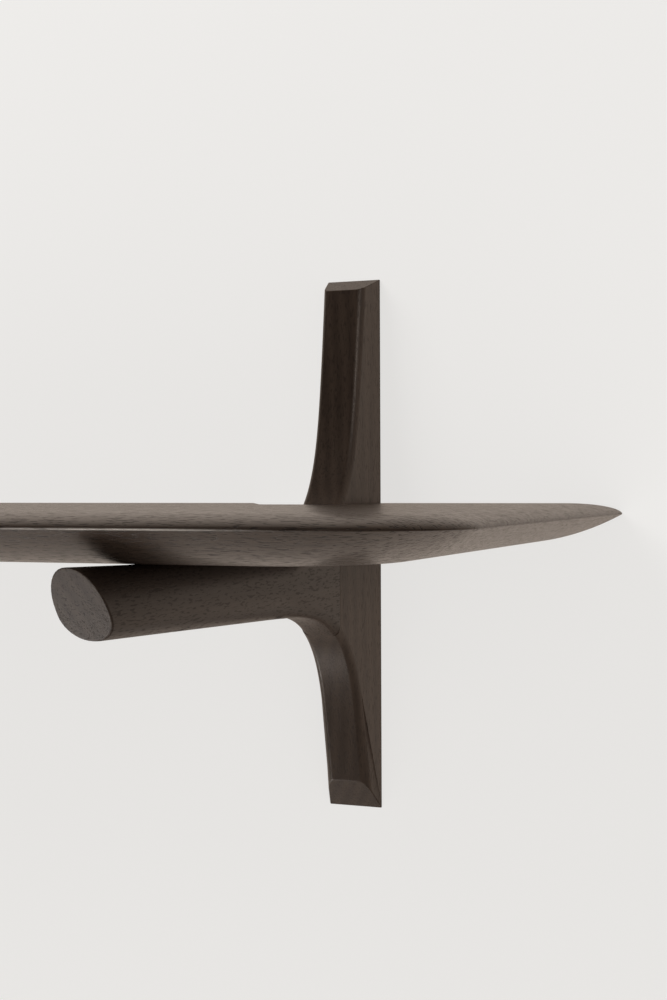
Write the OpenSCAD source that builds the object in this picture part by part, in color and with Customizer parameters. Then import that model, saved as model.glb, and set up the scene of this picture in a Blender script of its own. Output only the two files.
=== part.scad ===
// Wall shelf: a long board with a bevelled, knife-like rim, carried by two
// sculpted brackets. Each bracket is an upright spine flat on the wall and an
// arm that grows out of it under the board. The spine passes through a notch
// in the board's back edge.
//
// Frame: the wall is the plane y = 0 and the shelf stands out towards -y.
// +x runs along the board, +z is up, and z = 0 is half-way through the board.

/* [Board] */
// Length of the board along the wall
board_len = 900; // [760:10:1400]
// Depth of the board, from the wall to its front ridge
board_depth = 270; // [240:5:330]
// Thickness of the board
board_t = 19; // [17:0.5:26]
// How far the rim's ridge lies below the top face
ridge_drop = 5; // [3:0.5:8]
// Width of the rounded bevel above the ridge
top_bevel_w = 26; // [14:1:34]
// Width of the long bevel below the ridge
under_bevel_w = 56; // [30:1:60]
// Radius of the two front corners, seen from above
corner_r = 36; // [28:1:60]
// Number of staves that are glued edge to edge into the board
stave_count = 3; // [3:1:3]

/* [Notch for the spine] */
// Gap between the front of the spine and the notch's floor
notch_front_gap = 7; // [3:1:20]
// Gap between the spine's outer side and the notch
notch_gap = 1.5; // [0.5:0.5:4]
// Width of the notch's floor on the side towards the board's middle
notch_inner_w = 24.5; // [18:0.5:40]
// How much further the notch flares along the wall on that side
notch_flare = 30; // [10:1:40]
// Radius of the notch's inner corners
notch_r = 5; // [2:1:8]

/* [Spine] */
// Distance from the board's end to the bracket's centre plane
bracket_inset = 131; // [100:0.5:200]
// Height of the spine's top above the board's top face
spine_up = 108.5; // [90:0.5:160]
// Drop of the spine's foot below the board's underside
spine_down = 129.5; // [110:0.5:180]
// Width of the spine where it lies on the wall
spine_w = 27; // [24:0.5:34]
// Width of the spine along its front, and of its joint with the arm
spine_front_w = 19.4; // [18.4:0.2:26]
// How far the spine stands off the wall where it meets the arm
spine_joint_d = 45; // [42:0.5:47]
// Depth of the spine at its top end
spine_tip_d = 15; // [13:0.5:22]
// Growth of the spine's depth per unit of height, from its top down
spine_taper = 0.13; // [0.05:0.01:0.16]
// Growth of the spine's depth per unit of height, from its foot up
foot_taper = 0.22; // [0.15:0.01:0.25]
// Length over which the spine flares out above the board
flare_len = 17; // [12:1:24]
// Rounding of the spine's two front edges
spine_edge_r = 4; // [3:0.5:5]
// Height that the slanted cut takes off the spine's top
top_cut_h = 6; // [4:0.5:14]
// Height that the slanted cut takes off the spine's foot
foot_cut_h = 11; // [4:0.5:18]

/* [Arm] */
// Distance from the wall to the arm's upper tip
arm_reach = 266; // [235:0.5:300]
// How far the arm's end face leans back towards the wall at its bottom
arm_undercut = 17; // [8:0.5:24]
// Drop from the board's underside to the bottom of the arm's end
arm_end_h = 24.5; // [22:0.5:34]
// Drop from the board's underside to the arm's bottom, just after the armpit
arm_root_h = 30; // [27:0.5:44]
// Width of the arm at its end
arm_end_w = 21; // [20:0.2:28]
// Rise of the arm's back, per unit of length, under the board's bevel
arm_back_rise = 0.03; // [0:0.01:0.06]
// Height of the rounding along the arm's under edges
arm_under_round = 12; // [8:0.5:12.5]
// Height of the rounding along the arm's upper edges
arm_over_round = 12; // [6:0.5:12]
// How far the arm's widest line sinks on the last stretch to the end face
tip_sink = 3; // [0:0.5:6]
// Length of that stretch
tip_sink_len = 60; // [30:5:80]

/* [Joinery] */
// Diameter of the two dowels between spine and arm
dowel_dia = 8; // [6:1:10]
// Length of a dowel
dowel_len = 48; // [36:1:56]
// How much of a dowel's length sits in the spine
dowel_in_spine = 22; // [16:1:24]
// Distance between the two dowels, one above the other
dowel_pitch = 16; // [12:1:18]
// Diameter of the bolts that pull the board on to the arms
bolt_dia = 6; // [5:1:6]
// Diameter of a bolt's head
bolt_head_dia = 11; // [10:0.5:12]
// Height of a bolt's head
bolt_head_h = 3.5; // [3:0.5:5]
// Width left round a bolt in its holes
bolt_play = 1; // [0.5:0.1:1.2]
// Drop from the board's underside to the seat of a bolt's head
bolt_seat_drop = 15; // [12:0.5:17]
// Across flats of the hexagon socket in a bolt's head
hex_socket = 3.5; // [3:0.5:4]
// How far the rear bolt stands in front of the first glued seam
rear_bolt_past_seam = 15; // [8:1:25]
// How far the front bolt stands in front of the second glued seam
front_bolt_past_seam = 10; // [8:1:20]
// Outside diameter of a threaded insert
insert_dia = 10; // [9:0.5:12]
// Length of a threaded insert
insert_len = 12; // [10:0.5:13]

/* [Hangers] */
// Height of a keyhole plate
plate_h = 56; // [50:1:60]
// Width of a keyhole plate
plate_w = 16; // [14:0.5:18]
// Thickness of a keyhole plate
plate_t = 2; // [1.5:0.5:3]
// Diameter of the keyhole's round entry
entry_dia = 9; // [8:0.5:10]
// Width of the keyhole's slot
slot_w = 4.6; // [4:0.2:5.4]
// Distance from the entry up to the end of the slot
slot_rise = 12; // [10:1:14]
// Room behind a plate for the head of the wall screw
head_room = 7; // [5:0.5:8]
// Distance from the spine's top end down to the upper entry
upper_entry_drop = 42; // [40:1:50]
// Distance from the spine's foot up to the lower entry
lower_entry_rise = 46; // [44:1:50]
// Diameter of the small screws that hold a plate
plate_screw_dia = 3; // [2.5:0.5:3.5]
// Diameter of their countersunk heads
plate_screw_head = 5.6; // [5:0.2:6.4]
// Length of those screws
plate_screw_len = 9; // [7:0.5:10]
// Distance from a plate's end to its screw
plate_screw_inset = 6; // [5:0.5:8]

/* [Hidden] */

$fn = 48;
WOOD = [0.19, 0.15, 0.13];
END_GRAIN = [0.30, 0.25, 0.22];
STEEL = [0.72, 0.72, 0.74];
BRASS = [0.78, 0.62, 0.30];
// Small overlap of solids that are joined or cut
eps = 0.01;
// Longer than any hole or cut is deep
past = 60;

board_top = board_t / 2;
board_bottom = -board_t / 2;
ridge_z = board_top - ridge_drop;
bracket_x = board_len / 2 - bracket_inset;
spine_top = board_top + spine_up;
spine_foot = board_bottom - spine_down;
arc_steps = 8;

// ---------------------------------------------------------------- curves

// A point on a cubic curve, and the curve's direction there
function cubic(p, t) =
    pow(1 - t, 3) * p[0] + 3 * pow(1 - t, 2) * t * p[1]
    + 3 * (1 - t) * t * t * p[2] + pow(t, 3) * p[3];
function cubic_slope(p, t) =
    3 * pow(1 - t, 2) * (p[1] - p[0]) + 6 * (1 - t) * t * (p[2] - p[1])
    + 3 * t * t * (p[3] - p[2]);
// The parameter at which the curve is d away from the wall
function cubic_at(p, d, lo = 0, hi = 1, n = 24) =
    let (t = (lo + hi) / 2)
    n == 0 ? t : cubic(p, t)[0] < d ? cubic_at(p, d, t, hi, n - 1) : cubic_at(p, d, lo, t, n - 1);
// 0 before a, 1 after b, and a smooth rise between them
function ease(v, a, b) =
    let (u = min(1, max(0, (v - a) / (b - a)))) u * u * (3 - 2 * u);
function mirrored(half) =
    concat(half, [for (i = [len(half) - 1:-1:0]) [-half[i][0], half[i][1]]]);

// A closed solid through rings that have the same number of points. The
// rings run anticlockwise when seen from the last one.
module loft(rings) {
    n = len(rings[0]);
    m = len(rings);
    polyhedron(
        points = [for (r = rings) each r],
        faces = concat(
            [[for (i = [0:n - 1]) i]],
            [for (k = [0:m - 2]) for (i = [0:n - 1])
                let (j = (i + 1) % n, a = k * n, b = a + n)
                    each [[a + i, b + j, a + j], [a + i, b + i, b + j]]],
            [[for (i = [n - 1:-1:0]) (m - 1) * n + i]]
        ),
        convexity = 6
    );
}

// ---------------------------------------------------------------- board

// Outline of the board, drawn in by w from its ends and its front
function rim_outline(w, r, z) =
    let (hx = board_len / 2 - w, y = -(board_depth - w))
    concat(
        [[hx, 0, z], [-hx, 0, z]],
        [for (i = [0:arc_steps]) let (a = 180 + 90 * i / arc_steps)
            [-hx + r + r * cos(a), y + r + r * sin(a), z]],
        [for (i = [0:arc_steps]) let (a = 270 + 90 * i / arc_steps)
            [hx - r + r * cos(a), y + r + r * sin(a), z]]
    );
// The long bevel is steep at the ridge and runs out towards the underside
under_steps = 7;
under_curve = 2.15;
function under_ring(i) =
    let (u = i / under_steps)
    rim_outline(
        under_bevel_w * (1 - u), corner_r,
        board_bottom + (ridge_z - board_bottom) * pow(u, under_curve)
    );
top_steps = 7;
function top_ring(i) =
    let (a = 90 * i / top_steps, w = top_bevel_w * (1 - cos(a)))
    rim_outline(w, max(corner_r - w, 6), ridge_z + ridge_drop * sin(a));

module board_blank() {
    loft(concat(
        [for (i = [0:under_steps]) under_ring(i)],
        [for (i = [1:top_steps]) top_ring(i)]
    ));
}

// Plan of the notch for the right bracket, with rounded inner corners
notch_out = spine_w / 2 + notch_gap;
notch_depth = spine_joint_d + notch_front_gap;
module notch_plan() {
    flare_a = atan(notch_flare / notch_depth);
    polygon(concat(
        [[notch_out, 1]],
        [for (i = [0:arc_steps]) let (a = 360 - 90 * i / arc_steps)
            [notch_out - notch_r + notch_r * cos(a),
             -notch_depth + notch_r + notch_r * sin(a)]],
        [for (i = [0:arc_steps]) let (a = 270 - (90 - flare_a) * i / arc_steps)
            [-notch_inner_w + notch_r * cos(a),
             -notch_depth + notch_r + notch_r * sin(a)]],
        [[-notch_inner_w - notch_flare, 0], [-notch_inner_w - notch_flare, 1]]
    ));
}

module each_side() {
    children();
    mirror([1, 0, 0]) children();
}

stave_w = board_depth / stave_count;
rear_bolt_d = stave_w + rear_bolt_past_seam;
front_bolt_d = 2 * stave_w + front_bolt_past_seam;
module at_bolts() {
    for (d = [rear_bolt_d, front_bolt_d]) translate([0, -d, 0]) children();
}
module stave(i) {
    color(WOOD) difference() {
        intersection() {
            board_blank();
            translate([-board_len, -(i + 1) * stave_w, -board_t])
                cube([2 * board_len, stave_w, 2 * board_t]);
        }
        each_side() translate([bracket_x, 0, 0]) {
            translate([0, 0, -board_t]) linear_extrude(2 * board_t) notch_plan();
            at_bolts() translate([0, 0, board_bottom - 1])
                cylinder(d = insert_dia, h = insert_len + 1);
        }
    }
}
module stave_rear() stave(0);
module stave_middle() stave(1);
module stave_front() stave(2);

// ---------------------------------------------------------------- bracket

// Side outline of the armpit, as [distance from the wall, height]: a cubic
// curve from the spine's front to the arm's bottom, with its two handles
armpit = [
    [18, board_bottom - 91],
    [24.5, board_bottom - 65],
    [31, board_bottom - arm_root_h - 2],
    [88, board_bottom - arm_root_h]
];
foot_d = armpit[0][0] - foot_taper * (armpit[0][1] - spine_foot);
arm_bottom_slope = (arm_root_h - arm_end_h) / (arm_reach - arm_undercut - armpit[3][0]);

// Depth of the spine above the board
flare_d = spine_joint_d - spine_tip_d - spine_taper * spine_up;
function upper_depth(z) =
    spine_tip_d + spine_taper * (spine_top - z)
    + flare_d * exp(-(z - board_top) / flare_len);
// Half of the arm's width at distance d from the wall
function arm_half_width(d) =
    (spine_front_w + (arm_end_w - spine_front_w)
        * (d - spine_joint_d) / (arm_reach - spine_joint_d)) / 2;

// Ring of the spine at height z: flat on the wall, its sides drawing in to
// the front, its front edges rounded. The rounding reaches back by reach and
// in by spine_edge_r, and leaves at least side_min of the straight side. A
// ring that would be deeper than the joint ends flat on the joint's face.
side_min = 4;
function spine_ring(z, d, reach) =
    let (hw = spine_front_w / 2, back = min(reach, d - side_min))
    [for (p = mirrored(concat(
        [[spine_w / 2, 0]],
        [for (i = [0:arc_steps]) let (a = 90 * i / arc_steps, y = d - back * (1 - sin(a)))
            y < spine_joint_d ? [hw - spine_edge_r * (1 - cos(a)), -y]
                : [hw - spine_edge_r * i / arc_steps, -spine_joint_d]]
    ))) [p[0], p[1], z]];

armpit_steps = 14;
// The spine follows the armpit's curve up to a little past the joint face
armpit_share = 0.86;
// Rings above the joint stand closer together where the flare is tight
upper_steps = 12;
upper_bunching = 1.6;
module spine_blank() {
    lower = [for (i = [0:armpit_steps])
        let (t = armpit_share * i / armpit_steps, p = cubic(armpit, t), s = cubic_slope(armpit, t))
            spine_ring(p[1], p[0], spine_edge_r * norm(s) / s[1])];
    upper = [for (i = [0:upper_steps])
        let (z = board_bottom
                + (spine_top - board_bottom) * pow(i / upper_steps, upper_bunching))
            spine_ring(z, upper_depth(z), spine_edge_r)];
    rings = concat([spine_ring(spine_foot, foot_d, spine_edge_r)], lower, upper);
    // The rings are clockwise from above, so they are listed backwards
    loft([for (r = rings) [for (i = [len(r) - 1:-1:0]) r[i]]]);
}

// Slanted cuts at the two ends of the spine
module spine_end_cuts() {
    top_slope = top_cut_h / spine_tip_d;
    foot_slope = foot_cut_h / foot_d;
    rotate([90, 0, 90]) translate([0, 0, -spine_w]) linear_extrude(2 * spine_w) {
        polygon([
            [1, spine_top + top_slope], [1, spine_top + past], [-past, spine_top + past],
            [-past, spine_top - past * top_slope]
        ]);
        polygon([
            [1, spine_foot - foot_slope], [1, spine_foot - past], [-past, spine_foot - past],
            [-past, spine_foot + past * foot_slope]
        ]);
    }
}

upper_entry_z = spine_top - upper_entry_drop;
lower_entry_z = spine_foot + lower_entry_rise;
// The two dowels share the arm's height just after the joint
joint_h = arm_root_h + 3;
dowel_z = board_bottom - joint_h / 2;

module dowel_pair() {
    for (k = [-0.5, 0.5])
        translate([0, -spine_joint_d + dowel_in_spine, dowel_z + k * dowel_pitch])
            rotate([90, 0, 0]) cylinder(d = dowel_dia, h = dowel_len);
}

module spine(side) {
    color(WOOD) translate([side * bracket_x, 0, 0]) difference() {
        spine_blank();
        spine_end_cuts();
        dowel_pair();
        hanger_pocket(upper_entry_z);
        hanger_pocket(lower_entry_z);
    }
}
module spine_right() spine(1);
module spine_left() spine(-1);

// Ring of the arm whose top is at distance d from the wall and whose bottom
// is nearer the wall by lean. The round under edge is stretched by slant.
// The edges take on their full rounding between two distances from the wall.
arm_edge_start = spine_joint_d + 16;
arm_oval_start = spine_joint_d + 65;
// Half of what stays flat of the arm's bottom, and of its top
arm_under_flat = 0.6;
arm_over_flat = 0.6;
// Rounding of the arm's upper edges at the joint
arm_sharp = 0.8;
// The arm's back starts to rise where the bevel has left it a gap
arm_back_start = board_depth - under_bevel_w + 8;
function arm_top(d) = board_bottom + arm_back_rise * max(0, d - arm_back_start);
function arm_ring(d, lean, bottom, slant) =
    let (
        hw = arm_half_width(d), top = arm_top(d),
        round = ease(d, arm_edge_start, arm_oval_start),
        sink = tip_sink * ease(d, arm_reach - tip_sink_len, arm_reach),
        under_x = spine_edge_r + (hw - arm_under_flat - spine_edge_r) * round,
        under_z = (spine_edge_r + (arm_under_round - spine_edge_r) * round) * slant - sink,
        over_x = arm_sharp + (hw - arm_over_flat - arm_sharp) * round,
        over_z = arm_sharp + (arm_over_round - arm_sharp) * round + sink
    )
    [for (p = mirrored(concat(
        [for (i = [0:arc_steps]) let (a = 90 * i / arc_steps)
            [hw - under_x * (1 - sin(a)), bottom + under_z * (1 - cos(a))]],
        [for (i = [0:arc_steps]) let (a = 90 * i / arc_steps)
            [hw - over_x * (1 - cos(a)), top - over_z * (1 - sin(a))]]
    ))) [p[0], -d + lean * (top - p[1]) / (top - bottom), p[1]]];

arm_steps = 9;
root_steps = 7;
module arm_blank() {
    // The armpit's share of the arm, from the joint face on
    joint_t = cubic_at(armpit, spine_joint_d);
    root = [for (i = [0:root_steps])
        let (t = joint_t + (1 - joint_t) * i / root_steps,
             p = cubic(armpit, t), s = cubic_slope(armpit, t))
            arm_ring(i == 0 ? spine_joint_d : p[0], 0, p[1], norm(s) / s[0])];
    // The rest, whose rings lean more and more until the end face
    bar = [for (i = [1:arm_steps])
        let (d = armpit[3][0] + (arm_reach - armpit[3][0]) * i / arm_steps,
             lean = arm_undercut * i / arm_steps)
            arm_ring(d, lean, armpit[3][1] + arm_bottom_slope * (d - lean - armpit[3][0]), 1)];
    loft(concat(root, bar));
}

bolt_seat_z = board_bottom - bolt_seat_drop;
// Shaft hole and head recess of one bolt, from below
module bolt_hole() {
    translate([0, 0, bolt_seat_z - past]) {
        cylinder(d = bolt_dia + bolt_play, h = 2 * past);
        cylinder(d = bolt_head_dia + bolt_play, h = past);
    }
}

module arm(side) {
    color(END_GRAIN) translate([side * bracket_x, 0, 0]) difference() {
        arm_blank();
        dowel_pair();
        at_bolts() bolt_hole();
    }
}
module arm_right() arm(1);
module arm_left() arm(-1);

// ---------------------------------------------------------------- joinery

module arm_dowels(side) {
    color(END_GRAIN) translate([side * bracket_x, 0, 0]) dowel_pair();
}
module arm_dowels_right() arm_dowels(1);
module arm_dowels_left() arm_dowels(-1);

insert_floor = 2;
bolt_reach = insert_len - insert_floor;
module board_inserts(side) {
    color(BRASS) translate([side * bracket_x, 0, 0]) at_bolts()
        translate([0, 0, board_bottom]) difference() {
            cylinder(d = insert_dia, h = insert_len);
            translate([0, 0, -1]) cylinder(d = bolt_dia, h = bolt_reach + 1);
        }
}
module board_inserts_right() board_inserts(1);
module board_inserts_left() board_inserts(-1);

module board_bolts(side) {
    color(STEEL) translate([side * bracket_x, 0, 0]) at_bolts() difference() {
        union() {
            translate([0, 0, bolt_seat_z - bolt_head_h])
                cylinder(d = bolt_head_dia, h = bolt_head_h);
            translate([0, 0, bolt_seat_z - eps])
                cylinder(d = bolt_dia, h = board_bottom - bolt_seat_z + bolt_reach + eps);
        }
        translate([0, 0, bolt_seat_z - bolt_head_h - 1])
            cylinder(d = hex_socket / cos(30), h = bolt_head_h, $fn = 6);
    }
}
module board_bolts_right() board_bolts(1);
module board_bolts_left() board_bolts(-1);

// A plug fills the recess below a bolt's head, flush with the arm
module bolt_plugs(side) {
    color(WOOD) translate([side * bracket_x, 0, 0]) intersection() {
        arm_blank();
        at_bolts() translate([0, 0, bolt_seat_z - bolt_head_h - past])
            cylinder(d = bolt_head_dia + bolt_play, h = past);
    }
}
module bolt_plugs_right() bolt_plugs(1);
module bolt_plugs_left() bolt_plugs(-1);

// ---------------------------------------------------------------- hangers

// The plate is a steel strip with round ends, flush with the spine's back.
// Its middle is half-way along the keyhole.
plate_screw_pitch = plate_h - 2 * plate_screw_inset;
// The pocket behind a plate is this much wider and longer than the keyhole
pocket_play = 2;
screw_head_h = 1.6;
module strip(w, h, t) {
    rotate([90, 0, 0]) {
        for (k = [-0.5, 0.5]) translate([0, k * (h - w), 0]) cylinder(d = w, h = t);
        translate([-w / 2, -(h - w) / 2, 0]) cube([w, h - w, t]);
    }
}
module hanger_pocket(entry_z) {
    translate([0, 0, entry_z + slot_rise / 2]) {
        translate([0, 1, 0]) strip(plate_w, plate_h, plate_t + 1);
        strip(entry_dia + pocket_play, slot_rise + entry_dia + pocket_play,
            plate_t + head_room);
        for (k = [-0.5, 0.5])
            translate([0, 0, k * plate_screw_pitch]) rotate([90, 0, 0])
                cylinder(d = plate_screw_dia, h = plate_screw_len);
    }
}
module hanger(side, entry_z) {
    color(STEEL) translate([side * bracket_x, 0, entry_z + slot_rise / 2]) difference() {
        strip(plate_w, plate_h, plate_t);
        translate([0, 1, -slot_rise / 2]) rotate([90, 0, 0])
            cylinder(d = entry_dia, h = plate_t + 2);
        translate([0, 1, slot_rise / 2]) rotate([90, 0, 0])
            cylinder(d = slot_w, h = plate_t + 2);
        translate([-slot_w / 2, -plate_t - 1, -slot_rise / 2])
            cube([slot_w, plate_t + 2, slot_rise]);
        for (k = [-0.5, 0.5])
            translate([0, 0, k * plate_screw_pitch]) hanger_screw();
    }
}
module hanger_upper_right() hanger(1, upper_entry_z);
module hanger_lower_right() hanger(1, lower_entry_z);
module hanger_upper_left() hanger(-1, upper_entry_z);
module hanger_lower_left() hanger(-1, lower_entry_z);

// A countersunk screw whose head is flush with the plate
module hanger_screw() {
    rotate([90, 0, 0]) {
        cylinder(d1 = plate_screw_head, d2 = plate_screw_dia, h = screw_head_h);
        cylinder(d = plate_screw_dia, h = plate_screw_len);
    }
}
module hanger_screws(side, entry_z) {
    color(STEEL) translate([side * bracket_x, 0, entry_z + slot_rise / 2])
        for (k = [-0.5, 0.5]) translate([0, 0, k * plate_screw_pitch]) hanger_screw();
}
module hanger_screws_upper_right() hanger_screws(1, upper_entry_z);
module hanger_screws_lower_right() hanger_screws(1, lower_entry_z);
module hanger_screws_upper_left() hanger_screws(-1, upper_entry_z);
module hanger_screws_lower_left() hanger_screws(-1, lower_entry_z);

// ---------------------------------------------------------------- nodes

stave_rear();
stave_middle();
stave_front();
spine_right();
spine_left();
arm_right();
arm_left();
arm_dowels_right();
arm_dowels_left();
board_inserts_right();
board_inserts_left();
board_bolts_right();
board_bolts_left();
bolt_plugs_right();
bolt_plugs_left();
hanger_upper_right();
hanger_lower_right();
hanger_upper_left();
hanger_lower_left();
hanger_screws_upper_right();
hanger_screws_lower_right();
hanger_screws_upper_left();
hanger_screws_lower_left();
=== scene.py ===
"""A wall shelf: a dark stained board with a knife-like rim on two sculpted brackets.

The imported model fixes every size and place. This script gives the wood its
smooth surfaces, its grain and its satin lacquer, and sets the wall, the light
and the camera. Units are metres. The wall is the plane y = 0, the shelf stands
out towards -y, +x runs along the board, +z is up, and z = 0 is half-way
through the board.
"""
import logging
import math
from collections.abc import Iterable, Sequence
from dataclasses import dataclass
from enum import Enum
from typing import Any

import bmesh
import bpy
from mathutils import Matrix, Vector


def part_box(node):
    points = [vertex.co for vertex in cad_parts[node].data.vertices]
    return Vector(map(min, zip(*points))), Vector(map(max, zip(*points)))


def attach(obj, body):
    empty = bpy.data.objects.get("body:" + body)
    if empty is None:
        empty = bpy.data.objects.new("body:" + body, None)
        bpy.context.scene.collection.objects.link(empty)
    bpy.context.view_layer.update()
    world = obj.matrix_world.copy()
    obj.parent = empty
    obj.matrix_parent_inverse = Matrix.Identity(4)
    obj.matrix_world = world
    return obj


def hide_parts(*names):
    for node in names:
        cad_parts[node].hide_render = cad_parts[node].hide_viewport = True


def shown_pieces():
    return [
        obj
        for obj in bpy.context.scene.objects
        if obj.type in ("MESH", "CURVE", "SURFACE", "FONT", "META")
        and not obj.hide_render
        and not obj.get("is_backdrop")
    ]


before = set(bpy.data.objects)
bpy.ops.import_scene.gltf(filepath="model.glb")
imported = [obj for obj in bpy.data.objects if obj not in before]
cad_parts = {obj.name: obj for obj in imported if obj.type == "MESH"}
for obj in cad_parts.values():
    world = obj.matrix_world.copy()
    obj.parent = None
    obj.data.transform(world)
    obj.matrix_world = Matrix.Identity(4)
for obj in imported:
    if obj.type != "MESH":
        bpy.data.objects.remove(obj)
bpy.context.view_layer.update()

logging.basicConfig(level=logging.INFO, format="%(message)s")
log = logging.getLogger("wall_shelf")

MM = 0.001
Triple = tuple[float, float, float]
Rgb = Triple


class Slot(Enum):
    """The names of the material slots for the board, the spines and the arms."""

    BOARD = "board_wood"
    SPINE = "spine_wood"
    ARM = "arm_wood"


class Grain(Enum):
    """The way the fibres run in a piece, as the turn that brings it to the pattern's own x axis."""

    ALONG_BOARD = (0.0, 0.0, 0.0)
    UPRIGHT = (0.0, math.radians(90), 0.0)
    OUT_FROM_WALL = (0.0, 0.0, math.radians(90))


# ---------------------------------------------------------------- small maths


def ease(value: float, start: float, end: float) -> float:
    """A smooth rise from 0 before start to 1 after end.

    Args:
        value: Where to read the rise.
        start: Last place where it is 0.
        end: First place where it is 1.

    Returns:
        The rise, from 0 to 1.
    """
    u = min(1.0, max(0.0, (value - start) / (end - start)))
    return u * u * (3 - 2 * u)


@dataclass(frozen=True)
class Cubic:
    """A cubic curve in the side view, through points (distance from the wall, height)."""

    points: tuple[Vector, Vector, Vector, Vector]

    def at(self, t: float) -> Vector:
        """The point at parameter t."""
        p, s = self.points, 1 - t
        return p[0] * s**3 + p[1] * 3 * s * s * t + p[2] * 3 * s * t * t + p[3] * t**3

    def slope(self, t: float) -> Vector:
        """The direction at parameter t."""
        p, s = self.points, 1 - t
        return (p[1] - p[0]) * 3 * s * s + (p[2] - p[1]) * 6 * s * t + (p[3] - p[2]) * 3 * t * t

    def where(self, axis: int, value: float) -> float:
        """Finds a point of the curve, which must rise along that axis.

        Args:
            axis: 0 for the distance from the wall, 1 for the height.
            value: The distance or height to find.

        Returns:
            The parameter of the point.
        """
        low, high = 0.0, 1.0
        for _ in range(30):
            middle = (low + high) / 2
            low, high = (middle, high) if self.at(middle)[axis] < value else (low, middle)
        return (low + high) / 2


# ---------------------------------------------------------------- mesh tools


def add_ring(bm: bmesh.types.BMesh, points: Iterable[Sequence[float]]) -> list[bmesh.types.BMEdge]:
    """Adds a closed ring of edges through points.

    Args:
        bm: The mesh to add to.
        points: The ring's corners, in order.

    Returns:
        The ring's edges.
    """
    verts = [bm.verts.new(point) for point in points]
    return [bm.edges.new(pair) for pair in zip(verts, verts[1:] + verts[:1])]


def loft(bm: bmesh.types.BMesh, rings: Sequence[Sequence[Sequence[float]]]) -> list[list]:
    """Skins rings that have the same number of points, and closes both ends.

    Args:
        bm: The mesh to add to.
        rings: The rings, from one end to the other.

    Returns:
        The edges of each ring.
    """
    loops = [add_ring(bm, ring) for ring in rings]
    for near, far in zip(loops, loops[1:]):
        bmesh.ops.bridge_loops(bm, edges=near + far)
    for end in (loops[0], loops[-1]):
        bmesh.ops.edgeloop_fill(bm, edges=end)
    bmesh.ops.recalc_face_normals(bm, faces=bm.faces)
    return loops


def soften(
    bm: bmesh.types.BMesh, edges: Iterable, width: float, segments: int = 3, clamp: bool = True
) -> None:
    """Rounds edges over.

    Args:
        bm: The mesh that holds them.
        edges: The edges to round.
        width: How far the rounding reaches from each edge.
        segments: Number of facets across the rounding.
        clamp: Whether the rounding stops short of its neighbours.
    """
    bmesh.ops.bevel(
        bm, geom=list(edges), offset=width, offset_type="OFFSET", segments=segments,
        profile=0.5, affect="EDGES", clamp_overlap=clamp, material=-1,
    )


def slice_off(bm: bmesh.types.BMesh, point: Sequence[float], normal: Sequence[float]) -> list:
    """Cuts away what lies past a plane, and closes the cut.

    Args:
        bm: The mesh to cut.
        point: A point on the plane.
        normal: The plane's direction, towards what is cut away.

    Returns:
        The edges round the new face.
    """
    cut = bmesh.ops.bisect_plane(
        bm, geom=list(bm.verts) + list(bm.edges) + list(bm.faces), dist=1e-6,
        plane_co=point, plane_no=normal, clear_outer=True,
    )
    rim = [item for item in cut["geom_cut"] if isinstance(item, bmesh.types.BMEdge)]
    bmesh.ops.edgeloop_fill(bm, edges=[edge for edge in rim if edge.is_boundary])
    bmesh.ops.recalc_face_normals(bm, faces=bm.faces)
    return rim


def add_rod(bm: bmesh.types.BMesh, start: Vector, end: Vector, dia: float) -> None:
    """Adds a closed round rod.

    Args:
        bm: The mesh to add to.
        start: Centre of one end.
        end: Centre of the other end.
        dia: The rod's diameter.
    """
    axis = end - start
    turn = axis.to_track_quat("Z", "Y").to_matrix().to_4x4()
    place = Matrix.Translation((start + end) / 2) @ turn
    bmesh.ops.create_cone(
        bm, cap_ends=True, segments=48, radius1=dia / 2, radius2=dia / 2,
        depth=axis.length, matrix=place,
    )


def add_slab(bm: bmesh.types.BMesh, plan: Sequence[tuple[Vector, float]], travel: Vector) -> None:
    """Adds a prism with rounded upright edges.

    Args:
        bm: The mesh to add to.
        plan: The plan's corners in order, each with how far its rounding reaches.
        travel: The way from the plan to the prism's other end.
    """
    verts = [bm.verts.new(corner) for corner, _ in plan]
    bm.faces.new(verts)
    before = set(bm.faces) - {verts[0].link_faces[0]}
    for vert, reach in zip(verts, (reach for _, reach in plan)):
        if reach > 0:
            bmesh.ops.bevel(
                bm, geom=[vert], offset=reach, offset_type="OFFSET", segments=10,
                profile=0.5, affect="VERTICES", clamp_overlap=False, material=-1,
            )
    plan_face = [face for face in bm.faces if face not in before]
    grown = bmesh.ops.extrude_face_region(bm, geom=plan_face, use_keep_orig=True)
    moved = [item for item in grown["geom"] if isinstance(item, bmesh.types.BMVert)]
    bmesh.ops.translate(bm, verts=moved, vec=travel)
    bmesh.ops.recalc_face_normals(bm, faces=bm.faces)


class Cut(Enum):
    """What a cutter does to a solid."""

    TAKE_AWAY = "DIFFERENCE"
    KEEP_INSIDE = "INTERSECT"


def to_mesh(bm: bmesh.types.BMesh, name: str) -> bpy.types.Object:
    """Turns a bmesh into an object in the scene.

    Args:
        bm: The mesh, which is freed.
        name: The new object's name.

    Returns:
        The new object.
    """
    mesh = bpy.data.meshes.new(name)
    bm.to_mesh(mesh)
    bm.free()
    piece = bpy.data.objects.new(name, mesh)
    bpy.context.scene.collection.objects.link(piece)
    return piece


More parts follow.
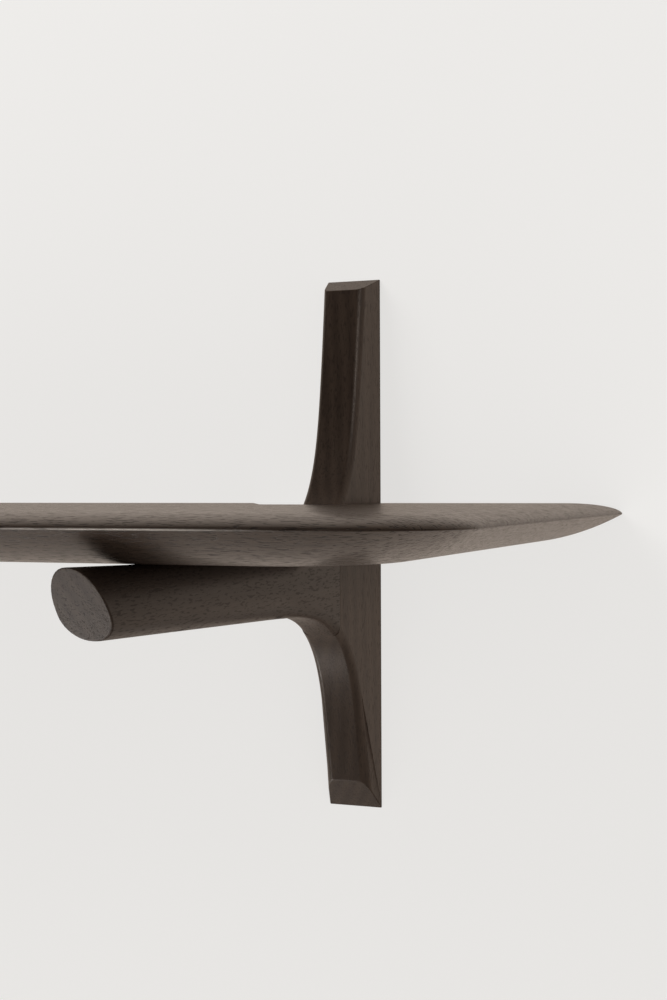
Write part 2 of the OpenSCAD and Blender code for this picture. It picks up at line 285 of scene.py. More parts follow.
def carve(bm: bmesh.types.BMesh, cutter: bmesh.types.BMesh, cut: Cut) -> bmesh.types.BMesh:
    """Cuts one closed solid with another.

    Args:
        bm: The solid, which is freed.
        cutter: The cutting solid, which is freed.
        cut: What the cutter does.

    Returns:
        The solid that is left.
    """
    blank = to_mesh(bm, "blank")
    tool = to_mesh(cutter, "tool")
    step = blank.modifiers.new("cut", "BOOLEAN")
    step.operation = cut.value
    step.solver = "EXACT"
    step.object = tool
    baked = blank.evaluated_get(bpy.context.evaluated_depsgraph_get())
    mesh = bpy.data.meshes.new_from_object(baked)
    left = bmesh.new()
    left.from_mesh(mesh)
    for leftover in (blank.data, tool.data, mesh):
        bpy.data.meshes.remove(leftover)
    return left


def shade(piece: bpy.types.Object, crease: float = 35.0) -> None:
    """Shades a piece smooth up to a crease angle in degrees, and keeps its flats flat."""
    for polygon in piece.data.polygons:
        polygon.use_smooth = True
    piece.data.set_sharp_from_angle(angle=math.radians(crease))
    normals = piece.modifiers.new("flat_flats", "WEIGHTED_NORMAL")
    normals.keep_sharp = True
    normals.weight = 100


# ---------------------------------------------------------------- node tools


class Nodes:
    """Short calls that add and join the nodes of one tree."""

    def __init__(self, tree: bpy.types.NodeTree) -> None:
        """Takes a tree and empties it."""
        self.tree = tree
        tree.nodes.clear()

    def add(self, kind: str, inputs: dict[Any, Any] | None = None, **settings: Any) -> Any:
        """Adds a node.

        Args:
            kind: Its type, without the word ShaderNode.
            inputs: Values or sockets for its inputs, by name or number.
            settings: Its own settings.

        Returns:
            The node.
        """
        node = self.tree.nodes.new(kind if kind.startswith("NodeGroup") else "ShaderNode" + kind)
        for name, value in settings.items():
            setattr(node, name, value)
        for name, value in (inputs or {}).items():
            self.feed(node.inputs[name], value)
        return node

    def feed(self, socket: Any, value: Any) -> None:
        """Joins a socket to an input, or sets the input's value."""
        if isinstance(value, bpy.types.NodeSocket):
            self.tree.links.new(value, socket)
        else:
            socket.default_value = value

    def math(self, operation: str, *values: Any, clamp: bool = False) -> Any:
        """The result of one sum."""
        node = self.add("Math", dict(enumerate(values)), operation=operation, use_clamp=clamp)
        return node.outputs[0]

    def vector(self, operation: str, *values: Any) -> Any:
        """The result of one sum on vectors."""
        return self.add("VectorMath", dict(enumerate(values)), operation=operation).outputs[0]

    def scale(self, vector: Any, factors: Triple) -> Any:
        """A vector with each axis scaled by its own factor."""
        return self.vector("MULTIPLY", vector, factors)

    def ramp(self, value: Any, low: float, high: float) -> Any:
        """0 below low, 1 above high, and a smooth rise between them."""
        inputs = {0: value, 1: low, 2: high, 3: 0.0, 4: 1.0}
        return self.add("MapRange", inputs, interpolation_type="SMOOTHSTEP").outputs[0]

    def mix(self, share: Any, first: Any, second: Any, blend: str = "MIX") -> Any:
        """Two colours mixed."""
        inputs = {0: share, 6: first, 7: second}
        return self.add("Mix", inputs, data_type="RGBA", blend_type=blend).outputs[2]

    def noise(self, vector: Any, detail: float, rough: float = 0.5) -> Any:
        """Plain noise at the vector's own scale."""
        inputs = {"Vector": vector, "Scale": 1.0, "Detail": detail, "Roughness": rough}
        return self.add("TexNoise", inputs).outputs["Fac"]


def new_group(name: str, takes: dict[str, Any], gives: dict[str, str]) -> tuple[Nodes, Any, Any]:
    """Starts a node group with named sockets.

    Args:
        name: The group's name.
        takes: Its inputs, each with a default number, vector of 3 or colour of 4.
        gives: Its outputs, each with its socket type.

    Returns:
        The group's node calls, its input node and its output node.
    """
    tree = bpy.data.node_groups.new(name, "ShaderNodeTree")
    nodes = Nodes(tree)
    kinds = {3: "NodeSocketVector", 4: "NodeSocketColor"}
    for label, value in takes.items():
        kind = kinds[len(value)] if isinstance(value, tuple) else "NodeSocketFloat"
        socket = tree.interface.new_socket(label, in_out="INPUT", socket_type=kind)
        socket.default_value = value
    for label, kind in gives.items():
        tree.interface.new_socket(label, in_out="OUTPUT", socket_type=kind)
    return nodes, nodes.add("NodeGroupInput"), nodes.add("NodeGroupOutput")


# ---------------------------------------------------------------- finishes


def wood_grain_group() -> bpy.types.NodeTree:
    """Solid grain whose fibres run along the vector's x axis: growth rings, streaks, fibres and pores.

    Returns:
        The group, which gives the stained colour, the roughness and the relief.
    """
    nodes, takes, gives = new_group(
        "wood_grain",
        {
            "Vector": (0.0, 0.0, 0.0), "Stain": (0.02, 0.02, 0.02, 1.0),
            "Pale": (0.05, 0.05, 0.05, 1.0), "Pore": (0.01, 0.01, 0.01, 1.0),
            "Figure": 0.5, "Pores": 0.6, "Roughness": 0.4,
        },
        {"Color": "NodeSocketColor", "Roughness": "NodeSocketFloat", "Height": "NodeSocketFloat"},
    )
    place = takes.outputs["Vector"]
    # Growth rings round a pith well below the piece, pulled about by slow noise
    drift = nodes.noise(nodes.scale(place, (2.2, 9.0, 9.0)), 2.0)
    pith = nodes.vector("ADD", nodes.scale(place, (0.0, 1.0, 1.0)), (0.0, 0.06, 0.11))
    radius = nodes.add("VectorMath", {0: pith}, operation="LENGTH").outputs["Value"]
    rings_per_metre, wander = 330.0, 9.0
    rings = nodes.math(
        "ADD", nodes.math("MULTIPLY", radius, rings_per_metre), nodes.math("MULTIPLY", drift, wander)
    )
    ring = nodes.math("PINGPONG", rings, 1.0)
    streak = nodes.noise(nodes.scale(place, (9.0, 260.0, 260.0)), 4.0, 0.6)
    fibre = nodes.noise(nodes.scale(place, (60.0, 1900.0, 1900.0)), 2.0)
    # Pores are short dashes along the fibres and dots on the end grain
    dash = nodes.noise(nodes.scale(place, (260.0, 1300.0, 1300.0)), 1.0)
    pore = nodes.ramp(dash, 0.54, 0.66)
    figure = nodes.math("ADD", nodes.math("MULTIPLY", ring, 0.45), nodes.math("MULTIPLY", streak, 0.75))
    figure = nodes.math("MULTIPLY", nodes.ramp(figure, 0.25, 0.95), takes.outputs["Figure"])
    body = nodes.mix(figure, takes.outputs["Stain"], takes.outputs["Pale"])
    pored = nodes.math("MULTIPLY", pore, takes.outputs["Pores"])
    nodes.feed(gives.inputs["Color"], nodes.mix(pored, body, takes.outputs["Pore"]))
    matt = nodes.math("ADD", nodes.math("MULTIPLY", fibre, 0.10), nodes.math("MULTIPLY", pored, 0.25))
    rough = nodes.math("ADD", nodes.math("SUBTRACT", takes.outputs["Roughness"], 0.05), matt, clamp=True)
    nodes.feed(gives.inputs["Roughness"], rough)
    relief = nodes.math("SUBTRACT", nodes.math("MULTIPLY", fibre, 0.35), pored)
    nodes.feed(gives.inputs["Height"], relief)
    return nodes.tree


def painted_ridge_highlight_group() -> bpy.types.NodeTree:
    """A mask for a painted highlight along a level edge: 1 on it, fading to 0 with distance, and broken up
    a little.

    Returns:
        The group, which gives the mask.
    """
    nodes, takes, gives = new_group(
        "painted_ridge_highlight",
        {"Vector": (0.0, 0.0, 0.0), "Level": 0.0, "Width": 0.0005, "Front": -0.26, "End": 0.4},
        {"Mask": "NodeSocketFloat"},
    )
    place = takes.outputs["Vector"]
    split = nodes.add("SeparateXYZ", {0: place})
    away = nodes.math("ABSOLUTE", nodes.math("SUBTRACT", split.outputs[2], takes.outputs["Level"]))
    near = nodes.math("SUBTRACT", 1.0, nodes.math("DIVIDE", away, takes.outputs["Width"]), clamp=True)
    ahead = nodes.math("SUBTRACT", takes.outputs["Front"], split.outputs[1])
    in_front = nodes.ramp(ahead, -0.004, 0.0)
    along = nodes.math("SUBTRACT", takes.outputs["End"], nodes.math("ABSOLUTE", split.outputs[0]))
    inside = nodes.ramp(along, 0.0, 0.06)
    broken = nodes.ramp(nodes.noise(nodes.scale(place, (45.0, 45.0, 45.0)), 3.0), 0.2, 0.6)
    close = nodes.math("MULTIPLY", near, in_front)
    mask = nodes.math("MULTIPLY", close, nodes.math("MULTIPLY", inside, broken))
    nodes.feed(gives.inputs["Mask"], mask)
    return nodes.tree


def plated_metal_group() -> bpy.types.NodeTree:
    """Plated metal with fine handling marks.

    Returns:
        The group, which gives the colour, the roughness and the relief.
    """
    nodes, takes, gives = new_group(
        "plated_metal",
        {"Vector": (0.0, 0.0, 0.0), "Metal": (0.6, 0.6, 0.6, 1.0), "Dull": (0.4, 0.4, 0.4, 1.0),
         "Roughness": 0.3},
        {"Color": "NodeSocketColor", "Roughness": "NodeSocketFloat", "Height": "NodeSocketFloat"},
    )
    place = takes.outputs["Vector"]
    cloud = nodes.ramp(nodes.noise(nodes.scale(place, (140.0, 140.0, 140.0)), 3.0), 0.35, 0.7)
    brush = nodes.noise(nodes.scale(place, (3000.0, 3000.0, 120.0)), 2.0)
    nodes.feed(gives.inputs["Color"], nodes.mix(cloud, takes.outputs["Metal"], takes.outputs["Dull"]))
    rough = nodes.math("ADD", takes.outputs["Roughness"], nodes.math("MULTIPLY", cloud, 0.18))
    nodes.feed(gives.inputs["Roughness"], nodes.math("ADD", rough, nodes.math("MULTIPLY", brush, 0.1)))
    nodes.feed(gives.inputs["Height"], brush)
    return nodes.tree


def start_material(name: str) -> tuple[Nodes, bpy.types.Material, Any]:
    """Starts a material with object coordinates.

    Args:
        name: The material's name.

    Returns:
        Its node calls, the material and the coordinate socket.
    """
    material = bpy.data.materials.new(name)
    material.use_nodes = True
    nodes = Nodes(material.node_tree)
    return nodes, material, nodes.add("TexCoord").outputs["Object"]


def finish_material(nodes: Nodes, shader: Any) -> None:
    """Joins a shader to the material's output."""
    nodes.add("OutputMaterial", {"Surface": shader.outputs[0]})


@dataclass(frozen=True)
class PaintedRidgeHighlight:
    """A painted highlight along the front ridge, standing in for the glint of its arris: its colour, level,
    width and reach.
    """

    colour: Rgb
    level: float
    width: float
    front: float
    end: float


@dataclass(frozen=True)
class Tones:
    """The colours of one wood: its ground, its pale streaks and its pores."""

    ground: Rgb
    pale: Rgb
    pore: Rgb


@dataclass(frozen=True)
class StainedWood:
    """Wood that is stained and lacquered, or left raw."""

    name: str
    grain: Grain
    tones: Tones
    figure: float
    pores: float
    roughness: float
    relief: float
    coat: float = 0.0
    coat_roughness: float = 0.15
    specular: float = 0.26
    warmth: Rgb = (1.0, 0.86, 0.76)
    shift: Triple = (0.0, 0.0, 0.0)
    # A painted highlight along the front ridge, or none.
    edge: PaintedRidgeHighlight | None = None

    def build(self, grain_group: bpy.types.NodeTree, highlight_group: bpy.types.NodeTree) -> bpy.types.Material:
        """Builds the material.

        Args:
            grain_group: The wood grain group.
            highlight_group: The group that masks the painted highlight along the ridge.

        Returns:
            The material.
        """
        nodes, material, place = start_material(self.name)
        turn = {"Vector": place, "Location": self.shift, "Rotation": self.grain.value}
        turned = nodes.add("Mapping", turn)
        grain = nodes.add("Group", {
            "Vector": turned.outputs[0], "Stain": (*self.tones.ground, 1.0),
            "Pale": (*self.tones.pale, 1.0), "Pore": (*self.tones.pore, 1.0),
            "Figure": self.figure, "Pores": self.pores, "Roughness": self.roughness,
        }, node_tree=grain_group)
        colour = grain.outputs["Color"]
        # Paints a pale highlight along the ridge into the wood's colour, standing in for light caught by
        # the arris.
        if self.edge:
            highlight_line = nodes.add("Group", {
                "Vector": place, "Level": self.edge.level, "Width": self.edge.width,
                "Front": self.edge.front, "End": self.edge.end,
            }, node_tree=highlight_group)
            colour = nodes.mix(highlight_line.outputs["Mask"], colour, (*self.edge.colour, 1.0))
        relief = {"Strength": 1.0, "Distance": self.relief, "Height": grain.outputs["Height"]}
        bump = nodes.add("Bump", relief)
        shader = nodes.add("BsdfPrincipled", {
            "Base Color": colour, "Roughness": grain.outputs["Roughness"], "Normal": bump.outputs[0],
            "Coat Weight": self.coat, "Coat Roughness": self.coat_roughness,
            "Specular IOR Level": self.specular, "Specular Tint": (*self.warmth, 1.0),
        })
        finish_material(nodes, shader)
        return material


@dataclass(frozen=True)
class PlatedMetal:
    """Plain metal with a thin plating."""

    name: str
    metal: Rgb
    dull: Rgb
    roughness: float
    marks: float = 0.02 * MM

    def build(self, group: bpy.types.NodeTree) -> bpy.types.Material:
        """Builds the material around the plated metal group."""
        nodes, material, place = start_material(self.name)
        plating = nodes.add("Group", {
            "Vector": place, "Metal": (*self.metal, 1.0), "Dull": (*self.dull, 1.0),
            "Roughness": self.roughness,
        }, node_tree=group)
        relief = {"Strength": 0.4, "Distance": self.marks, "Height": plating.outputs["Height"]}
        bump = nodes.add("Bump", relief)
        shader = nodes.add("BsdfPrincipled", {
            "Base Color": plating.outputs["Color"], "Roughness": plating.outputs["Roughness"],
            "Metallic": 1.0, "Normal": bump.outputs[0],
        })
        finish_material(nodes, shader)
        return material


# ---------------------------------------------------------------- frame sizes


@dataclass(frozen=True)
class Places:
    """Heights and places that every piece shares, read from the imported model."""

    board_low: Vector
    board_high: Vector
    spine_low: Vector
    spine_high: Vector
    bracket_x: float
    bolt_depths: tuple[float, float]
    head_dia: float

    @classmethod
    def read(cls) -> "Places":
        """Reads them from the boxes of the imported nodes."""
        back_low, back_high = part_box("stave_rear")
        front_low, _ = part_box("stave_front")
        spine_low, spine_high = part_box("spine_right")
        bolts_low, bolts_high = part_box("board_bolts_right")
        head_dia = bolts_high[0] - bolts_low[0]
        return cls(
            board_low=Vector((back_low[0], front_low[1], back_low[2])),
            board_high=Vector(back_high),
            spine_low=Vector(spine_low),
            spine_high=Vector(spine_high),
            bracket_x=(spine_low[0] + spine_high[0]) / 2,
            bolt_depths=(-bolts_high[1] + head_dia / 2, -bolts_low[1] - head_dia / 2),
            head_dia=head_dia,
        )


# ---------------------------------------------------------------- board


@dataclass
class Board:
    """The board: three glued staves with one rim, and a notch for each spine."""

    places: Places
    ridge_drop: float = 5 * MM
    top_bevel: float = 26 * MM
    under_bevel: float = 56 * MM
    under_curve: float = 2.15
    corner_r: float = 36 * MM
    corner_facets: int = 24
    under_rings: int = 26
    top_rings: int = 16
    arris: float = 0.4 * MM
    edge_ease: float = 0.5 * MM
    notch_depth: float = 52 * MM
    notch_gap: float = 1.5 * MM
    notch_inner: float = 27.5 * MM
    notch_flare: float = 27 * MM
    notch_round: float = 5 * MM
    notch_inner_reach: float = 3 * MM

    @property
    def ridge(self) -> float:
        """Height of the rim's ridge."""
        return self.places.board_high.z - self.ridge_drop

    def outline(self, inset: float, radius: float, z: float) -> list[Triple]:
        """The board's outline, drawn in from its ends and its front, with two round front corners.

        Args:
            inset: How far it is drawn in.
            radius: Radius of the two corners.
            z: Its height.

        Returns:
            The outline's points.
        """
        reach_x = self.places.board_high.x - inset
        front = self.places.board_low.y + inset
        points = [(reach_x, 0.0, z), (-reach_x, 0.0, z)]
        for side, first in ((-1, 180), (1, 270)):
            for step in range(self.corner_facets + 1):
                a = math.radians(first + 90 * step / self.corner_facets)
                centre_x = side * (reach_x - radius)
                points.append((centre_x + radius * math.cos(a), front + radius + radius * math.sin(a), z))
        return points

    def rings(self) -> list[list[Triple]]:
        """Outlines from the underside over the ridge to the top."""
        low, ridge = self.places.board_low.z, self.ridge
        found = []
        for step in range(self.under_rings + 1):
            u = step / self.under_rings
            z = low + (ridge - low) * u**self.under_curve
            found.append(self.outline(self.under_bevel * (1 - u), self.corner_r, z))
        for step in range(1, self.top_rings + 1):
            a = math.radians(90 * step / self.top_rings)
            inset = self.top_bevel * (1 - math.cos(a))
            found.append(self.outline(inset, self.corner_r - inset, ridge + self.ridge_drop * math.sin(a)))
        return found

    def blank(self) -> bmesh.types.BMesh:
        """The whole board before it is cut, with its ridge broken by a small arris."""
        bm = bmesh.new()
        loops = loft(bm, self.rings())
        ridge = [edge for edge in loops[self.under_rings] if any(v.co.y < -MM for v in edge.verts)]
        soften(bm, ridge, self.arris)
        return bm

    def notch(self, side: int) -> bmesh.types.BMesh:
        """The cutter of one notch: square outside, flared towards the board's middle."""
        out = (self.places.spine_high.x - self.places.spine_low.x) / 2 + self.notch_gap
        past = 10 * MM
        low = self.places.board_low.z - past
        corners = (
            (out, past, 0.0), (out, -self.notch_depth, self.notch_round),
            (-self.notch_inner, -self.notch_depth, self.notch_inner_reach),
            (-self.notch_inner - self.notch_flare, 0.0, 0.0),
            (-self.notch_inner - self.notch_flare, past, 0.0),
        )
        plan = [(Vector((side * (self.places.bracket_x + x), y, low)), reach) for x, y, reach in corners]
        bm = bmesh.new()
        add_slab(bm, plan, Vector((0, 0, 2 * past - 2 * self.places.board_low.z)))
        return bm

    def insert_bores(self) -> bmesh.types.BMesh:
        """The cutters of the four bores that the threaded inserts sit in."""
        bm = bmesh.new()
        low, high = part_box("board_inserts_right")
        dia = high[0] - low[0]
        for side in (-1, 1):
            for depth in self.places.bolt_depths:
                foot = Vector((side * self.places.bracket_x, -depth, low[2] - 2 * MM))
                add_rod(bm, foot, Vector((foot.x, foot.y, high[2])), dia)
        return bm

    def build(self, finish: bpy.types.Material) -> None:
        """Makes the three staves from one blank, so that the rim runs on over the glued seams."""
        names = ("stave_rear", "stave_middle", "stave_front")
        for name in names:
            bm = self.blank()
            low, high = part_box(name)
            if name != "stave_front":
                slice_off(bm, (0, low[1], 0), (0, -1, 0))
            if name != "stave_rear":
                slice_off(bm, (0, high[1], 0), (0, 1, 0))
            if name == "stave_rear":
                for side in (-1, 1):
                    bm = carve(bm, self.notch(side), Cut.TAKE_AWAY)
                self.ease_edges(bm, low[1])
            else:
                bm = carve(bm, self.insert_bores(), Cut.TAKE_AWAY)
            piece = to_mesh(bm, "board_" + name)
            present(piece, finish, name)

    def ease_edges(self, bm: bmesh.types.BMesh, seam: float) -> None:
        """Breaks the notch's and the back's sharp edges, and leaves the glued seam sharp."""
        sharp = []
        for edge in bm.edges:
            if len(edge.link_faces) == 2 and edge.calc_face_angle() > math.radians(60):
                if all(abs(v.co.y - seam) > MM for v in edge.verts):
                    if all(abs(v.co.x) < self.places.board_high.x - self.under_bevel for v in edge.verts):
                        sharp.append(edge)
        soften(bm, sharp, self.edge_ease, 2)


def present(piece: bpy.types.Object, finish: bpy.types.Material, node: str) -> None:
    """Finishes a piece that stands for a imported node.

    Args:
        piece: The piece.
        finish: Its material.
        node: The node that it stands for.
    """
    piece.data.materials.clear()
    piece.data.materials.append(finish)
    shade(piece)
    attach(piece, "root")
    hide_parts(node)
    log.info("%s: %d faces, stands for %s", piece.name, len(piece.data.polygons), node)


# ---------------------------------------------------------------- bracket


@dataclass
class Bracket:
    """A spine flat on the wall and the arm that grows out of it under the board."""

    places: Places
    joint_d: float = 45 * MM
    front_w: float = 19.4 * MM
    end_w: float = 21 * MM
    tip_d: float = 15 * MM
    taper: float = 0.13
    foot_taper: float = 0.22
    flare_len: float = 17 * MM
    edge_r: float = 4 * MM
    top_cut: float = 6 * MM
    foot_cut: float = 11 * MM
    arm_reach: float = 266 * MM
    undercut: float = 17 * MM
    arm_end_h: float = 24.5 * MM
    arm_root_h: float = 30 * MM
    back_rise: float = 0.03
    back_rise_starts: float = 222 * MM
    under_round: float = 12 * MM
    over_round: float = 12 * MM
    under_flat: float = 0.6 * MM
    over_flat: float = 0.6 * MM
    sharp: float = 0.8 * MM
    tip_sink: float = 3 * MM
    tip_sink_len: float = 60 * MM
    round_starts: float = 61 * MM
    round_ends: float = 110 * MM
    armpit_start: float = 18 * MM
    armpit_drop: float = 91 * MM
    armpit_low_handle: tuple[float, float] = (24.5 * MM, 65 * MM)
    armpit_high_handle: tuple[float, float] = (31 * MM, 2 * MM)
    armpit_end: float = 88 * MM
    facets: int = 10
    facet_edge: float = 0.7 * MM
    plate_t: float = 2 * MM
    pocket_w: float = 11 * MM
    pocket_h: float = 23 * MM
    pocket_deep: float = 9 * MM
    dowel_dia: float = 8 * MM
    bolt_dia: float = 6 * MM
    bolt_head_h: float = 3.5 * MM
    bolt_play: float = 1 * MM

    @property
    def under(self) -> float:
        """Height of the board's underside."""
        return self.places.board_low.z

    @property
    def armpit(self) -> Cubic:
        """The curve from the spine's front into the arm's bottom."""
        root = self.under - self.arm_root_h
        return Cubic((
            Vector((self.armpit_start, self.under - self.armpit_drop)),
            Vector((self.armpit_low_handle[0], self.under - self.armpit_low_handle[1])),
            Vector((self.armpit_high_handle[0], root - self.armpit_high_handle[1])),
            Vector((self.armpit_end, root)),
        ))

    def arm_half_width(self, d: float) -> float:
        """Half of the arm's width at distance d from the wall."""
        share = (d - self.joint_d) / (self.arm_reach - self.joint_d)
        return (self.front_w + (self.end_w - self.front_w) * share) / 2

    def front_depth(self, z: float) -> float:
        """How far the spine's front stands off the wall at any height, up to the joint."""
        if z >= self.under:
            return min(self.upper_depth(z), self.joint_d)
        if z <= self.under - self.armpit_drop:
            return self.foot_depth(z)
        return min(self.armpit.at(self.armpit.where(1, z)).x, self.joint_d)

    def upper_depth(self, z: float) -> float:
        """Depth of the spine at a height above the board."""
        top = self.places.spine_high.z
        board_top = self.places.board_high.z
        flare = self.joint_d - self.tip_d - self.taper * (top - board_top)
        return self.tip_d + self.taper * (top - z) + flare * math.exp(-(z - board_top) / self.flare_len)

    def side_outline(self) -> list[tuple[float, float]]:
        """The spine's side view as (distance from the wall, height), from its foot to its top."""
        foot, top, past = self.places.spine_low.z, self.places.spine_high.z, 12 * MM
        curve = self.armpit
        points = [(self.foot_depth(foot - past), foot - past)]
        share, steps = 0.86, 40
        points += [tuple(curve.at(share * step / steps)) for step in range(steps + 1)]
        steps = 44
        for step in range(steps + 1):
            z = self.under + (top + past - self.under) * (step / steps) ** 1.4
            points.append((self.upper_depth(z), z))
        return points

    def foot_depth(self, z: float) -> float:
        """Depth of the spine at a height below the armpit."""
        return self.armpit_start - self.foot_taper * (self.under - self.armpit_drop - z)

    def spine_blank(self) -> bmesh.types.BMesh:
        """The spine, sawn from its side view, rounded along its front and cut off at both ends."""
        bm = bmesh.new()
        outline = self.side_outline()
        back = [(0.0, outline[-1][1]), (0.0, outline[0][1])]
        half = (self.places.spine_high.x - self.places.spine_low.x) / 2
        verts = [bm.verts.new((-half, -d, z)) for d, z in outline + back]
        side = bm.faces.new(verts)
        grown = bmesh.ops.extrude_face_region(bm, geom=[side], use_keep_orig=True)
        moved = [item for item in grown["geom"] if isinstance(item, bmesh.types.BMVert)]
        bmesh.ops.translate(bm, verts=moved, vec=(2 * half, 0, 0))
        bmesh.ops.recalc_face_normals(bm, faces=bm.faces)
        front = [
            edge for edge in bm.edges
            if abs(edge.verts[0].co.x - edge.verts[1].co.x) < 1e-6
            and all(v.co.y < -MM for v in edge.verts)
        ]
        soften(bm, front, self.edge_r, 8, clamp=False)
        drawn_in = 1 - self.front_w / 2 / half
        for vert in bm.verts:
            vert.co.x *= 1 - drawn_in * min(1.0, -vert.co.y / self.front_depth(vert.co.z))
        slice_off(bm, (0, -self.joint_d, 0), (0, -1, 0))
        top, foot = self.places.spine_high.z, self.places.spine_low.z
        foot_d = self.foot_depth(foot)
        rims = slice_off(bm, (0, 0, top), Vector((0, -self.top_cut, self.tip_d)))
        rims += slice_off(bm, (0, 0, foot), Vector((0, -self.foot_cut, -foot_d)))
        edges = [e for e in rims if e.is_valid and any(v.co.y < -MM for v in e.verts)]
        soften(bm, edges, self.facet_edge)
        return bm

    def plate_pockets(self) -> bmesh.types.BMesh:
        """The cutters of the pockets that the two keyhole plates lie in."""
        bm = bmesh.new()
        for node in ("hanger_upper_right", "hanger_lower_right"):
            low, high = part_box(node)
            middle = (low[2] + high[2]) / 2
            for width, height, deep in (
                (high[0] - low[0], high[2] - low[2], self.plate_t),
                (self.pocket_w, self.pocket_h, self.pocket_deep),
            ):
                plan = [
                    (Vector((sx * width / 2, MM, middle + sz * height / 2)), width * 0.499)
                    for sx, sz in ((-1, -1), (1, -1), (1, 1), (-1, 1))
                ]
                add_slab(bm, plan, Vector((0, -deep - MM, 0)))
        return bm

    def dowel_holes(self) -> bmesh.types.BMesh:
        """The cutters of the two dowel holes that spine and arm share."""
        bm = bmesh.new()
        low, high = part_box("arm_dowels_right")
        for z in (low[2] + self.dowel_dia / 2, high[2] - self.dowel_dia / 2):
            add_rod(bm, Vector((0, high[1], z)), Vector((0, low[1], z)), self.dowel_dia)
        return bm

    def arm_ring(self, d: float, lean: float, bottom: float, slant: float) -> list[Triple]:
        """One ring of the arm.

        Args:
            d: Distance of its top from the wall.
            lean: How much nearer the wall its bottom is.
            bottom: Height of its bottom.
            slant: How much its lower rounding is stretched.

        Returns:
            Its points, anticlockwise when seen from the arm's end.
        """
        half = self.arm_half_width(d)
        top = self.under + self.back_rise * max(0.0, d - self.back_rise_starts)
        rounded = ease(d, self.round_starts, self.round_ends)
        sink = self.tip_sink * ease(d, self.arm_reach - self.tip_sink_len, self.arm_reach)
        under_x = self.edge_r + (half - self.under_flat - self.edge_r) * rounded
        under_z = (self.edge_r + (self.under_round - self.edge_r) * rounded) * slant - sink
        over_x = self.sharp + (half - self.over_flat - self.sharp) * rounded
        over_z = self.sharp + (self.over_round - self.sharp) * rounded + sink
        right = []
        for step in range(self.facets + 1):
            a = math.radians(90 * step / self.facets)
            right.append((half - under_x * (1 - math.sin(a)), bottom + under_z * (1 - math.cos(a))))
        for step in range(self.facets + 1):
            a = math.radians(90 * step / self.facets)
            right.append((half - over_x * (1 - math.cos(a)), top - over_z * (1 - math.sin(a))))
        section = right + [(-x, z) for x, z in reversed(right)]
        return [(x, -d + lean * (top - z) / (top - bottom), z) for x, z in section]

    def arm_blank(self) -> bmesh.types.BMesh:
        """The arm from the joint face to its leaning end face, without its holes."""
        curve = self.armpit
        rings, steps = [], 16
        start = curve.where(0, self.joint_d)
        for step in range(steps + 1):
            t = start + (1 - start) * step / steps
            at, slope = curve.at(t), curve.slope(t)
            d = self.joint_d if step == 0 else at.x
            rings.append(self.arm_ring(d, 0.0, at.y, slope.length / slope.x))
        bottom_end = self.under - self.arm_end_h
        run = self.arm_reach - self.undercut - self.armpit_end
        fall = (bottom_end - self.under + self.arm_root_h) / run
        steps = 22
        for step in range(1, steps + 1):
            share = step / steps
            d = self.armpit_end + (self.arm_reach - self.armpit_end) * share
            lean = self.undercut * share
            bottom = self.under - self.arm_root_h + fall * (d - lean - self.armpit_end)
            rings.append(self.arm_ring(d, lean, bottom, 1.0))
        bm = bmesh.new()
        loops = loft(bm, rings)
        soften(bm, loops[-1], self.facet_edge)
        return bm

    def bolt_holes(self, plugs: bool = False) -> bmesh.types.BMesh:
        """The cutters of the bolt holes, or of the plugs that fill their lower ends.

        Args:
            plugs: Whether the cutters are those of the plugs.

        Returns:
            The cutters.
        """
        bm = bmesh.new()
        low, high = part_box("board_bolts_right")
        plug_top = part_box("bolt_plugs_right")[1][2]
        seat = low[2] + self.bolt_head_h
        past = 60 * MM
        for depth in self.places.bolt_depths:
            foot = Vector((0, -depth, self.under - past))
            recess_end = Vector((0, -depth, plug_top if plugs else seat))
            add_rod(bm, foot, recess_end, self.places.head_dia + self.bolt_play)
            if not plugs:
                shaft_end = Vector((0, -depth, high[2]))
                add_rod(bm, foot + Vector((0, 0, -MM)), shaft_end, self.bolt_dia + self.bolt_play)
        return bm

    def build(self, side: str, spine_wood: bpy.types.Material, arm_wood: bpy.types.Material) -> None:
        """Builds one bracket's spine, arm and plugs.

        Args:
            side: The end of the nodes' names, right or left.
            spine_wood: The spine's finish.
            arm_wood: The arm's finish.
        """
        low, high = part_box("spine_" + side)
        shift = Vector(((low[0] + high[0]) / 2, 0, 0))
        spine = carve(self.spine_blank(), self.plate_pockets(), Cut.TAKE_AWAY)
        spine = carve(spine, self.dowel_holes(), Cut.TAKE_AWAY)
        arm = carve(self.arm_blank(), self.dowel_holes(), Cut.TAKE_AWAY)
        arm = carve(arm, self.bolt_holes(), Cut.TAKE_AWAY)
        plugs = carve(self.arm_blank(), self.bolt_holes(plugs=True), Cut.KEEP_INSIDE)
        for bm, part, node, wood, slot in (
            (spine, "bracket_spine_", "spine_", spine_wood, Slot.SPINE),
            (arm, "bracket_arm_", "arm_", arm_wood, Slot.ARM),
            (plugs, "arm_plugs_", "bolt_plugs_", arm_wood, Slot.ARM),
        ):
            bmesh.ops.translate(bm, verts=bm.verts, vec=shift)
            present(to_mesh(bm, part + side), wood, node + side)


# ---------------------------------------------------------------- room


class Lit(Enum):
    """The pieces that a light reaches."""

    ALL = ""
    SHELF = "whole_shelf"
    SPINES = "uprights"


